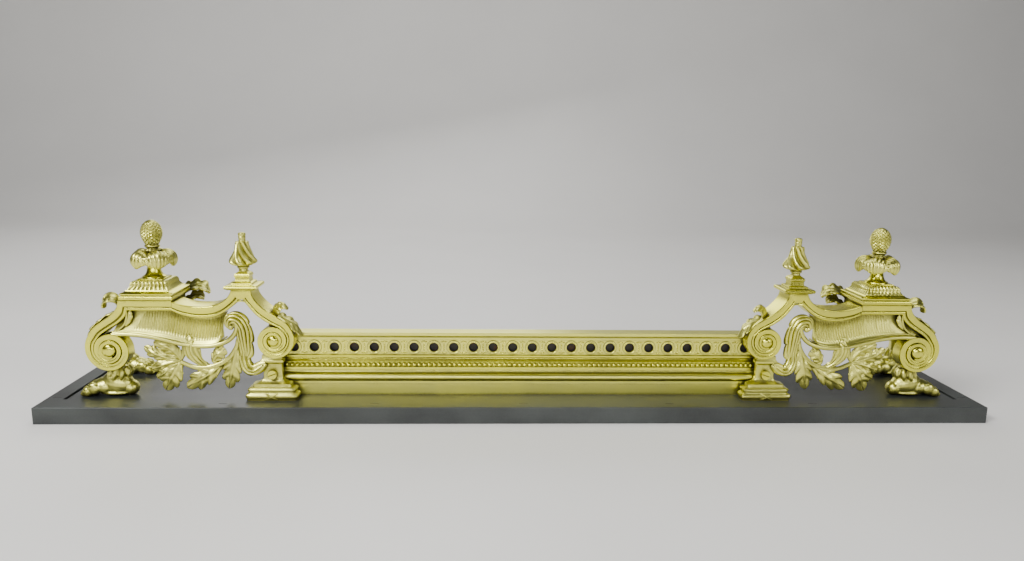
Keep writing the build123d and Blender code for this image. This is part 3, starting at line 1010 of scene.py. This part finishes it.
@dataclass
class FoliageSpray:
    """The pierced acanthus spray below the body."""

    fitter: Fitter
    stems: tuple[tuple[Point, ...], ...] = (
        ((419, 41, 90), (422, 41, 78), (432, 41, 63), (446, 40, 53), (463, 40, 48), (483, 40, 48),
         (503, 41, 56)),
        ((484, 42, 84), (484, 41, 70), (476, 41, 58), (462, 41, 49.5)),
        ((497, 43, 86), (499, 43, 70), (505, 42, 57)),
        ((443, 42, 82), (449, 42, 70), (455, 42, 58), (448, 42, 52)),
    )
    leaves: tuple[Leaf, ...] = (
        Leaf(((504, 42, 57), (517, 40, 61), (531, 39, 66), (541, 39, 70), (549, 41, 75)), 19, 3.5, **SPRIG),
        Leaf(((503, 42, 58), (507, 40, 67), (515, 39, 76), (525, 39, 81), (534, 40, 84)), 21, 3.5, **SPRIG),
        Leaf(((503, 42, 56), (514, 39, 56), (525, 38, 53), (533, 38, 50), (540, 40, 46)), 17, 2.5, **SPRIG),
        Leaf(((504, 42, 56), (513, 40, 51), (521, 39, 45), (528, 38, 39), (534, 40, 34)), 17, 2.5, **SPRIG),
        Leaf(((502, 43, 58), (508, 40, 49), (513, 38, 40), (518, 38, 31), (523, 40, 21)), 31, root=0.5,
             **FROND),
        Leaf(((442, 42, 54), (453, 40, 45), (463, 38, 38), (474, 38, 31), (486, 40, 23)), 29, root=0.5,
             **FROND),
        Leaf(((421, 42, 80), (424, 40, 66), (427, 38, 52), (430, 38, 39), (433, 40, 26)), 27, root=0.55,
             **FROND),
        Leaf(((458, 43, 56), (453, 40, 62), (448, 39, 68), (441, 40, 73)), 20, lobes=2.5, sweep=0.2,
             relief=1.4, root=0.6, tip=0.8),
        Leaf(((462, 42, 49), (474, 38, 56), (482, 35.5, 67), (485, 34.5, 77), (484, 36, 85), (481, 39, 87)),
             25, lobes=2, cup=-3.5, relief=1.5, root=0.35, tip=0.85, ribs=4, notch=0.85),
    )

    def build(self) -> None:
        """Models stems and leaves as one casting."""
        parts = [tube(f"stem_{i}", points, (3.2, 4.0, 3.2), 12, 40, 0.75)
                 for i, points in enumerate(self.stems)]
        parts += [leaf.build(f"spray_{i}", 16, 40) for i, leaf in enumerate(self.leaves)]
        self.fitter.pair(join("foliage_spray", *parts), "cast_brass", "foliage_spray")


@dataclass
class RearLeaf:
    """The leaf that rolls inwards from the back of the plinth."""

    fitter: Fitter

    def build(self) -> None:
        """Models the leaf."""
        big = Leaf(((524, 111, 130), (520, 111, 143), (511, 111, 152), (499, 110, 156), (487, 110, 154),
                    (480, 110, 147)), 30, lobes=4.5, sweep=0.06, cup=3.5, thickness=3.4,
                   side_axis=(0.2, 1, 0.45), root=0.7, tip=0.7).build("big")
        low = Leaf(((522, 112, 124), (513, 112, 133), (503, 112, 140), (494, 112, 141), (489, 112, 137)),
                   24, lobes=3.5, sweep=0.06, cup=2.5, thickness=3.2, side_axis=(0.2, 1, 0.5), root=0.8,
                   tip=0.7).build("low")
        self.fitter.pair(join("rear_leaf", big, low), "cast_brass", "rear_leaf")


@dataclass
class Plinth:
    """The square plinth of the urn: a moulded slab and a fluted block."""

    fitter: Fitter
    x: float = 543
    y: float = 67
    low_half: float = 28.5
    shoulder_half: float = 25.5
    base_z: float = 163
    height: float = 12.4
    flutes: int = 9
    flute_depth: float = 1.7

    def build(self) -> None:
        """Models the block and the moulded slab below it."""
        self.fitter.pair(self.block(), "cast_brass", "plinth_block")
        self.fitter.pair(self.slab(), "polished_brass", "plinth_slab")

    def block(self) -> Piece:
        """The ogee block with upright flutes on its four sides."""
        def place(u: float, v: float) -> Vector:
            """A place on the block's skin, with plain edges round each fluted side."""
            half = mix(self.low_half, self.shoulder_half, ease(v / 0.45)) - 3 * max(0.0, (v - 0.6) / 0.4) ** 2
            s = u * 4 % 1
            body = ease(v / 0.08) * ease((1 - v) / 0.08) * ease(s / 0.05) * ease((1 - s) / 0.05)
            half -= self.flute_depth * body * (1 - abs(math.cos(math.pi * self.flutes * s)))
            x, y = square_spot(half, u)
            return SPACE.at(self.x + x, self.y + y, self.base_z + self.height * v)

        return smooth_shade(closed_sheet("plinth_block", 4 * 6 * self.flutes, 14, place), 50)

    def slab(self) -> Piece:
        """The slab with its moulded edge."""
        return square_moulding("plinth_slab", self.x, self.y, (
            (33.5, 150), (36.6, 150.2), (37.6, 151.5), (37.8, 153.5), (37, 155), (35.4, 155.6), (35.2, 156.8),
            (36.4, 157.6), (36.6, 159), (35.6, 160), (32.5, 160.6), (30.6, 162), (30, 163)))


@dataclass
class Urn:
    """The urn on the plinth: drooping leaves round a stem, with a pinecone on top."""

    fitter: Fitter
    x: float = 543
    y: float = 67
    leaves: int = 5

    def build(self) -> None:
        """Models the leaf cup, the pinecone and the foot."""
        self.fitter.pair(self.leaf_cup(), "cast_brass", "leaf_cup", shift=-2 * self.x)
        self.fitter.pair(self.pinecone(), "cast_brass", "pinecone", shift=-2 * self.x)
        self.fitter.pair(self.socle(), "polished_brass", "urn_socle", "plinth_cap")

    def socle(self) -> Piece:
        """The plate on the block and the turned foot of the urn."""
        half = 18.4
        corners = ((-18.5, 174), (18.5, 174), (18.2, 177.6), (-18.2, 177.6))
        outline = [(self.x + dx, z) for dx, z in corners]
        plate = outline_plate("plate", outline, self.y - half, self.y + half, 1.0)
        profile = smooth_path((
            (0.1, 177.2), (8, 177.2), (16, 177.3), (16.6, 178.4), (16, 179.6), (13.4, 181), (11, 184.4),
            (9.6, 189), (9, 194), (10.8, 195), (11.2, 196.6), (10.4, 198), (8, 198.6), (0.1, 198.8)), 70)
        foot = lathe("foot", self.x, self.y, profile, 48, 70)
        return smooth_shade(join("urn_socle", plate, foot), 40)

    def leaf_cup(self) -> Piece:
        """Ribbed leaves that spring from the neck and hook down round the stem."""
        profile = smooth_path(((0.1, 197), (8.5, 197), (10, 200), (10, 206), (9, 212), (9.6, 217), (8, 220),
                               (7.4, 224), (0.1, 224)), 48)
        parts = [lathe("stem", self.x, self.y, profile, 48, 48,
                       lambda a, r, z: (a, r * (1 + 0.05 * math.cos(8 * a))))]
        run = ((7, 208), (9.5, 213), (15, 216.3), (22, 216), (28, 212), (30.4, 206), (30, 199.5), (27, 194.5),
               (23.5, 195))
        for k in range(self.leaves):
            angle = TURN * (k + 0.25) / self.leaves
            ca, sa = math.cos(angle), math.sin(angle)
            spine = tuple((self.x + r * ca, self.y + r * sa, z) for r, z in run)
            parts.append(Leaf(spine, 38, lobes=3.5, sweep=0.02, cup=-9, relief=1.1, side_axis=(sa, -ca, 0),
                              root=0.3, tip=0.6, ribs=7, notch=0.84).build(f"cup_{k}", 30, 40))
        return join("leaf_cup", *parts)

    def pinecone(self) -> Piece:
        """An egg covered with pointed scales in crossed spiral rows, on a collar."""
        rows = 8
        columns = 11
        low, high = 224, 262
        widest = 15

        def peak(value: float) -> float:
            """A triangle wave from 0 to 1."""
            return 1 - abs(2 * (value % 1) - 1)

        def place(u: float, v: float) -> Vector:
            """A place on the scaled egg."""
            z = mix(low, high, v)
            body = widest * (max(0.0, 1 - ((v - 0.5) / 0.5) ** 2) ** 0.54 if v > 0.5
                             else mix(0.5, 1, math.sin(math.pi * v)))
            scale = min(peak(columns * u + rows * v), peak(columns * u - rows * v)) ** 0.6
            radius = max(0.05, body + (1.9 * scale - 1.3) * min(1, 5 * (1 - v)))
            angle = TURN * u
            return SPACE.at(self.x + radius * math.cos(angle), self.y + radius * math.sin(angle), z)

        egg = closed_sheet("egg", columns * 12, rows * 16, place)
        profile = smooth_path(((0.1, 220), (6, 220), (8, 221), (9.8, 222.2), (10.6, 223.8), (9.8, 225.4),
                               (7, 226), (0.1, 226.2)), 42)
        collar = lathe("collar", self.x, self.y, profile, 40, 42)
        return smooth_shade(join("pinecone", egg, collar), 50)


@dataclass
class Finial:
    """The small swirled finial on its moulded cap, over the inner console."""

    fitter: Fitter
    x: float = 409
    y: float = 51

    def build(self) -> None:
        """Models the cap and the finial."""
        self.fitter.pair(self.cap(), "polished_brass", "finial_cap")
        self.fitter.pair(self.swirl(), "cast_brass", "swirl_finial", shift=-2 * self.x)

    def cap(self) -> Piece:
        """The square cap with its mouldings."""
        return square_moulding("finial_cap", self.x, self.y, (
            (17.5, 165.4), (19.4, 165.6), (20, 166.4), (22, 166.9), (23, 168.2), (23, 170.2), (22.2, 171.6),
            (21, 172.2), (15, 172.6), (14.6, 173.2), (14.4, 175), (13.4, 175.8), (10.4, 176.4), (10, 177.4),
            (9.8, 182.4), (10.8, 183.6), (11, 185.2), (10.2, 187.2), (8.2, 189), (6.4, 190), (5.8, 191)))

    def swirl(self) -> Piece:
        """The bell with its twisted flutes, the neck and the knob."""
        profile = smooth_path((
            (0.1, 190.6), (6, 190.7), (6.6, 192), (6.4, 194), (8.4, 195.4), (8.6, 197), (8, 198.2), (12, 199.4),
            (17, 201.6), (19, 205), (17.4, 209.4), (14, 215), (11.6, 221), (10, 227), (9, 232.6), (8, 234.2),
            (5.4, 234.8), (4.9, 237), (5.4, 240), (4.8, 241.6), (5.6, 243.4), (5.2, 245.8), (3, 247),
            (0.1, 247)), 138)

        def form(angle: float, radius: float, z: float) -> tuple[float, float]:
            """Twisted ribs over the bell."""
            share = ease((z - 198.5) / 3) * ease((235 - z) / 1.5)
            rib = abs(math.sin(3.5 * (angle + (z - 200) * 0.05)))
            return angle, radius * (1 + share * 0.34 * (rib - 0.8))

        return smooth_shade(lathe("swirl_finial", self.x, self.y, profile, 112, 138, form), 50)


@dataclass
class Paw:
    """A lion's paw with its tufts of fur, under the front volute and behind."""

    fitter: Fitter
    ankle_x: float = 599
    front_y: float = 59
    rear_y: float = 163
    rear_shift: float = 10
    rear_middle: float = 625.5
    toes: tuple[Flat, ...] = ((-12.6, 0), (-4.3, 3), (4.3, 3), (12.6, 0))
    locks: int = 9

    def build(self) -> None:
        """Models the front paw and the rear leg."""
        self.fitter.pair(self.foot("front_paw", self.ankle_x, self.front_y), "cast_brass", "front_paw")
        self.fitter.pair(self.rear_leg(), "cast_brass", "rear_leg")

    def lumps(self, x: float, y: float) -> list[Piece]:
        """The overlapping lumps of one paw whose toes point outwards, about its ankle."""
        parts = [ball(x, y, 35, 12.5, 12, 14), ball(x + 4, y, 18, 24, 15.5, 17, 14),
                 ball(x + 22, y, 13.5, 18, 15.5, 12.5, 12), ball(x - 15, y, 11, 11, 12, 11, -15),
                 ball(x + 7, y, 5, 26, 14.5, 5)]
        for side, reach in self.toes:
            parts += [ball(x + 35 + reach, y + side, 12.5, 9.5, 4.9, 9, 20),
                      ball(x + 44.5 + reach, y + side, 7.6, 7.6, 4.6, 7.4, 25),
                      ball(x + 51 + reach, y + side, 4, 4.4, 1.9, 3.4, 30)]
        return parts

    def tufts(self, x: float, y: float) -> list[Piece]:
        """Locks of fur that hang over the ankle."""
        run = ((0, 10.5, 10.5, 44), (0, 14.2, 13.2, 37), (1, 15, 14.2, 31), (3, 17.5, 16, 26))
        tufts = []
        for i in range(self.locks):
            ca, sa = math.cos(TURN * i / self.locks), math.sin(TURN * i / self.locks)
            lock = [(x + ahead + rx * ca, y + ry * sa, z) for ahead, rx, ry, z in run]
            tufts.append(tube("lock", lock, (3.6, 4.4, 3.6, 0.5), 10, 12))
        return tufts

    def foot(self, name: str, x: float, y: float) -> Piece:
        """One paw run together into a single skin, flat underneath."""
        paw = modelled(name, self.lumps(x, y) + self.tufts(x, y), 1.1, 3)
        for vertex in paw.data.vertices:
            vertex.co.z = max(vertex.co.z, SPACE.deck)
        return paw

    def rear_leg(self) -> Piece:
        """The rear paw, toes inwards, and the scrolled bracket that carries it."""
        paw = self.foot("paw", self.ankle_x + self.rear_shift, self.rear_y)
        turned = Matrix.Translation((self.rear_middle * 2 * MM, 0, 0)) @ Matrix.Diagonal((-1, 1, 1, 1))
        paw.data.transform(turned)
        edit_all(paw, lambda: bpy.ops.mesh.flip_normals())
        curve = ((562, 100, 121), (578, 110, 118), (598, 124, 108), (618, 139, 92), (633, 151, 73),
                 (641, 159, 53), (642, 163, 36))
        arm = tube("arm", curve, (13, 12, 11, 11, 11.5, 12.5, 13.5), 20, 50)
        return join("rear_leg", paw, smooth_shade(arm, 60))


@dataclass
class Pedestal:
    """The stepped support of the rail's end, with crossed ties on its foot."""

    fitter: Fitter
    x: float = 371
    back: float = 52
    squareness: float = 0.22

    def build(self) -> None:
        """Models the pedestal."""
        self.fitter.pair(self.body(), "cast_brass", "pedestal")

    def body(self) -> Piece:
        """The moulded body with crossed ties in the middle of its front."""
        profile = ((37, 29, 0), (37, 29, 2.4), (38.3, 28.2, 4), (38.6, 28, 6), (38.1, 28.5, 8.2), (36, 30, 9.6),
                   (34, 31, 11), (34, 31, 12.4), (35.3, 30.4, 14), (35.3, 30.4, 16.4), (33.6, 31.6, 18),
                   (28.5, 34, 19.4), (28, 34.4, 21), (28, 34.4, 23.6), (22, 37, 24.8), (17, 40, 27),
                   (14.6, 41.8, 30.4), (14, 42, 34), (14, 42, 52), (14.6, 41, 54), (17, 38.4, 56), (17, 38, 59),
                   (15, 39.5, 61), (15, 39.5, 66))
        count = len(profile) - 1

        def place(u: float, v: float) -> Vector:
            """A place on the body's skin, an oblong with soft corners."""
            half, front, z = profile[round(v * count)]
            c, s = math.cos(TURN * u), math.sin(TURN * u)
            x = half * math.copysign(abs(c) ** self.squareness, c)
            ahead = 0.5 + 0.5 * math.copysign(abs(s) ** self.squareness, s)
            return SPACE.at(self.x + x, self.back - (self.back - front) * ahead, z)

        body = closed_sheet("pedestal", 72, count, place)
        run = ((-9, 29.2, 1.4), (-4.5, 28, 3.2), (0, 27.4, 5.8), (4.5, 28.2, 8.2), (9, 30.4, 9.8))
        ties = [tube("tie", [(self.x + lean * dx, y, z) for dx, y, z in run], (1.0, 1.3, 1.0), 8, 16, 0.7)
                for lean in (1, -1)]
        return smooth_shade(join("pedestal", body, *ties), 40)


# ---------------------------------------------------------------- rail
@dataclass
class Rail:
    """The beads and the ringed holes of the pierced rail."""

    fitter: Fitter
    half: float = 384
    holes: int = 24
    pitch: float = 29.8
    hole_r: float = 7.4
    hole_z: float = 73.75
    face_y: float = 61
    bead_pitch: float = 7.62
    bead_r: float = 2.95
    motif: tuple[tuple[float, float, float, float], ...] = (
        (0, 0, 1.5, 1.5), (0, 3.9, 1.0, 2.2), (0, -3.9, 1.0, 2.2), (2.9, 8.3, 2.2, 0.9), (-2.9, 8.3, 2.2, 0.9),
        (2.9, -8.3, 2.2, 0.9), (-2.9, -8.3, 2.2, 0.9), (0, 9.4, 1.1, 1.1), (0, -9.4, 1.1, 1.1))

    def build(self) -> None:
        """Models the beaded moulding and the rings."""
        self.fitter.fit(self.beads(), "polished_brass", "rail_bead_moulding")
        self.fitter.fit(self.rings(), "polished_brass")

    def beads(self) -> Piece:
        """The moulding whose rib is a row of beads."""
        section = ((58.5, 39), (58.5, 43.0), (60.2, 43.2), (60.6, 50), (60.4, 51.2), (61.8, 52.6), (63.2, 54.4),
                   (63.6, 56), (62.6, 57.6), (60.6, 58.6), (58.4, 58.8), (58.0, 59.2), (58.0, 61.3),
                   (58.4, 61.5), (70, 61.5), (70, 39))
        count = len(section)

        def place(u: float, v: float) -> Vector:
            """A place on the moulding's skin."""
            y, z = section[round(u * count) % count]
            return SPACE.at(mix(-self.half, self.half, v), y, z)

        rail = closed_sheet("rail_bead_moulding_cast", count, 2, place)
        number = int(2 * (self.half - 2) / self.bead_pitch)
        start = -self.bead_pitch * (number - 1) / 2
        first = ball(0, 59.2, 46.6, self.bead_r * 1.08, self.bead_r, self.bead_r)
        beads = [copy_piece(first, f"bead_{i}", start + self.bead_pitch * i) for i in range(number)]
        bpy.data.objects.remove(first)
        return smooth_shade(join("rail_bead_moulding_cast", rail, *beads), 40)

    def bud(self, x: float, z: float, rx: float, rz: float) -> Piece:
        """One low bud of the motif between two holes."""
        deselect()
        bpy.ops.mesh.primitive_ico_sphere_add(subdivisions=2, radius=1)
        obj = bpy.context.object
        size = Matrix.Diagonal((rx * MM, 1.1 * MM, rz * MM, 1))
        obj.data.transform(Matrix.Translation(SPACE.at(x, self.face_y + 0.2, z)) @ size)
        return obj

    def rings(self) -> Piece:
        """The raised rim of every hole and the buds between them."""
        profile = ((-0.25, 3.6), (-0.3, 0.6), (0.3, -0.7), (1.2, -1.35), (2.1, -1.1), (2.7, -0.2), (3.2, -0.7),
                   (3.6, 0.4), (3.6, 1.0), (0, 3.6))
        count = len(profile)
        pieces = []
        for i in range(self.holes):
            x = self.pitch * (i - (self.holes - 1) / 2)

            def place(u: float, v: float, centre: float = x) -> Vector:
                """A place on the rim."""
                rim, depth = profile[round(v * count) % count]
                across = (self.hole_r + rim) * math.cos(TURN * u)
                up = (self.hole_r + rim) * math.sin(TURN * u)
                return SPACE.at(centre + across, self.face_y + depth, self.hole_z + up)

            ring = grid_sheet(f"ring_{i}", 40, count, place)
            tidy_normals(ring)
            pieces.append(ring)
            if i:
                pieces += [self.bud(x - self.pitch / 2 + dx, self.hole_z + dz, rx, rz)
                           for dx, dz, rx, rz in self.motif]
        return smooth_shade(join("rail_rings_cast", *pieces), 50)


# ---------------------------------------------------------------- studio
@dataclass
class Studio:
    """A plain pale floor and backdrop, soft lights and the camera."""

    floor: Point = (0.93, 0.91, 0.87)
    rise_from: float = 2.2
    room: Point = (0.40, 0.42, 0.46)
    room_strength: float = 0.12

    def build(self) -> None:
        """Sets the stage."""
        self.sweep()
        self.world()
        self.light("key", (-1.9, -1.7, 2.3), (0, 0, 0.1), 104, 1.4, 0.9)
        self.light("fill", (2.4, -1.9, 1.3), (0, 0, 0.1), 24, 1.2, 1.2)
        self.light("front", (-0.3, -2.7, 0.8), (0, 0, 0.06), 27, 2.6, 0.35)
        self.light("top", (0.2, 0.5, 2.6), (0, 0, 0.0), 26, 2.4, 1.0)
        self.light("back", (-0.6, 2.4, 1.4), (0, 0, 0.1), 18, 2.0, 1.0)
        self.camera()

    def sweep(self) -> None:
        """One sheet that is the floor and then rises behind."""
        def place(u: float, v: float) -> Vector:
            """A place on the sheet."""
            x = mix(-6, 6, u)
            run = mix(-5, 7, v)
            rise = max(0.0, run - self.rise_from)
            back = min(run, self.rise_from) + 1.2 * (1 - math.exp(-rise / 1.2))
            return Vector((x, back, 0.55 * rise ** 2 / (0.6 + rise)))

        obj = grid_sheet("floor", 8, 80, place)
        tidy_normals(obj)
        smooth_shade(obj, 180)
        s = Shading("studio_floor")
        cloud = s.noise(2.2, 4)
        fine = s.noise(180, 3)
        tone = s.colour_mix(cloud.band(0.3, 0.7), self.floor, tuple(0.96 * c for c in self.floor))
        obj.data.materials.append(s.feed(Base_Color=tone, Roughness=(0.5 + (fine - 0.5) * 0.1).clamp(),
                                         Normal=s.bump(fine, 0.03, 0.0005)))

    def world(self) -> None:
        """An even, soft sky."""
        world = bpy.data.worlds.new("room")
        bpy.context.scene.world = world
        world.use_nodes = True
        back = world.node_tree.nodes["Background"]
        back.inputs[0].default_value = (*self.room, 1)
        back.inputs[1].default_value = self.room_strength

    def light(self, name: str, place: Point, aim: Point, power: float, width: float,
              height: float) -> None:
        """Adds one soft area light that points at a place."""
        deselect()
        bpy.ops.object.light_add(type="AREA", location=place)
        lamp = bpy.context.object
        lamp.name = name
        lamp.data.shape = "RECTANGLE"
        lamp.data.size = width
        lamp.data.size_y = height
        lamp.data.energy = power
        lamp.rotation_euler = (Vector(aim) - Vector(place)).to_track_quat("-Z", "Y").to_euler()

    def camera(self) -> None:
        """The main view."""
        deselect()
        turn = Matrix.Rotation(math.radians(-2.86), 4, "Z") @ Matrix.Rotation(math.radians(79.03), 4, "X")
        bpy.ops.object.camera_add(location=(-0.074, -1.1685, 0.421))
        camera = bpy.context.object
        camera.rotation_euler = (turn @ Matrix.Rotation(math.radians(0.98), 4, "Z")).to_euler()
        camera.data.lens = 27.04
        camera.data.sensor_width = 36
        camera.data.clip_start = 0.02
        bpy.context.scene.camera = camera


# ---------------------------------------------------------------- scene
def dress_nodes(finishes: Finishes) -> None:
    """Gives every CAD node the finish of its slot."""
    rail_nodes = ("rail_torus_moulding", "rail_top_moulding", "rail_pierced_band")
    for part in frame["record"]["subparts"]:
        name = part["node"]
        obj = frame["nodes"][name]
        finishes.dress(obj, part["material_slot"], finishes.rail if name in rail_nodes else None)
        smooth_shade(obj, 35)


def main() -> None:
    logging.basicConfig(level=logging.INFO, format="%(message)s")
    finishes = Finishes()
    dress_nodes(finishes)
    fitter = Fitter(finishes)
    for assembly in (OuterConsole, InnerConsole, FriezeBody, FoliageSpray, RearLeaf, Plinth, Urn, Finial,
                     Paw, Pedestal, Rail):
        assembly(fitter).build()
    Studio().build()


if __name__ == "__main__":
    main()
